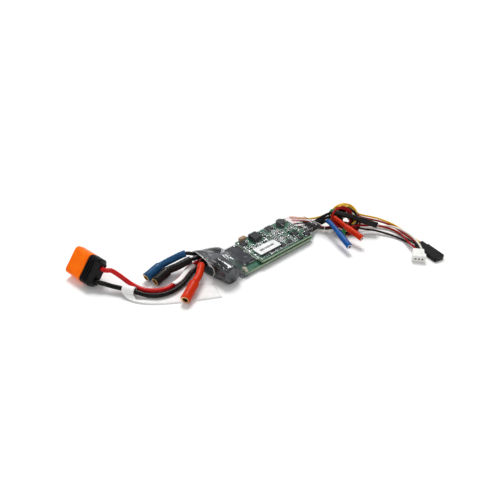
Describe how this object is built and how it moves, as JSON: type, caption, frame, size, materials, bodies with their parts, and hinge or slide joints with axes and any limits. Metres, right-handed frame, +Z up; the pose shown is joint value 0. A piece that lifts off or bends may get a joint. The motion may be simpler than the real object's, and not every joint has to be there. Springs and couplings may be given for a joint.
{
  "type": "electronic speed controller",
  "caption": "Motor speed controller in a clear shrink sleeve, with a battery lead and plug, bullet-socket motor leads, and a servo lead and data lead in a small hank.",
  "frame": {"origin": "on the ground, under the middle of the sleeve's box", "axes": "+Z up; +X along the boards towards the servo lead; +Y from the capacitor that is at the front towards the back"},
  "size_m": [0.1845, 0.1364, 0.0161],
  "materials": {
    "black_plastic": "black moulded shell",
    "black_shrink": "black heat-shrink",
    "black_silicone": "black silicone insulation",
    "black_wire": "black PVC insulation",
    "blue_shrink": "blue heat-shrink",
    "board": "green solder mask",
    "capacitor_can": "grey film over an aluminium can",
    "ceramic_body": "tan ceramic",
    "chip": "black moulded package",
    "ferrite": "dark grey ferrite",
    "gold": "gold-plated brass",
    "header_plastic": "black moulded strip",
    "heat_spreader": "dark grey plate",
    "label": "blank white paper",
    "orange_shell": "orange moulded shell",
    "red_shrink": "red heat-shrink",
    "red_silicone": "red silicone insulation",
    "red_wire": "dark red PVC insulation",
    "sleeve_film": "clear shrink film",
    "white_plastic": "white moulded housing",
    "white_wire": "white PVC insulation",
    "yellow_wire": "yellow PVC insulation"
  },
  "bodies": {
    "root": {"battery_lead_black": "black_silicone", "battery_lead_red": "red_silicone", "blank_flag_tag": "label", "blank_label": "label", "ceramic_capacitor": "ceramic_body", "clear_sleeve": "sleeve_film", "connector_front_shell": "orange_shell", "connector_rear_shell": "black_plastic", "controller_chip": "chip", "data_black_stub": "black_wire", "data_black_wire": "black_wire", "data_plug": "white_plastic", "data_red_stub": "red_wire", "data_red_wire": "red_wire", "data_white_stub": "white_wire", "data_white_wire": "white_wire", "front_capacitor": "capacitor_can", "front_driver_chip": "chip", "front_header": "header_plastic", "front_mosfet_bank": "chip", "heat_spreader": "heat_spreader", "lead_hank": "yellow_wire", "lower_board": "board", "motor_1_black_shrink": "black_shrink", "motor_1_black_socket": "gold", "motor_1_black_wire": "black_silicone", "motor_1_blue_shrink": "blue_shrink", "motor_1_blue_socket": "gold", "motor_1_blue_wire": "black_silicone", "motor_1_red_shrink": "red_shrink", "motor_1_red_socket": "gold", "motor_1_red_wire": "black_silicone", "motor_2_black_shrink": "black_shrink", "motor_2_black_socket": "gold", "motor_2_black_wire": "black_silicone", "motor_2_blue_shrink": "blue_shrink", "motor_2_blue_socket": "gold", "motor_2_blue_wire": "black_silicone", "motor_2_red_shrink": "red_shrink", "motor_2_red_socket": "gold", "motor_2_red_wire": "black_silicone", "negative_contact": "gold", "positive_contact": "gold", "rear_capacitor": "capacitor_can", "rear_driver_chip": "chip", "rear_header": "header_plastic", "rear_mosfet_bank": "chip", "regulator_chip": "chip", "round_inductor": "ferrite", "sense_chip": "chip", "servo_black_stub": "black_wire", "servo_black_wire": "black_wire", "servo_plug": "black_plastic", "servo_red_stub": "red_wire", "servo_red_wire": "red_wire", "servo_yellow_stub": "yellow_wire", "servo_yellow_wire": "yellow_wire", "square_inductor": "ferrite", "tag_tail": "label", "upper_board": "board"}
  },
  "joints": []
}
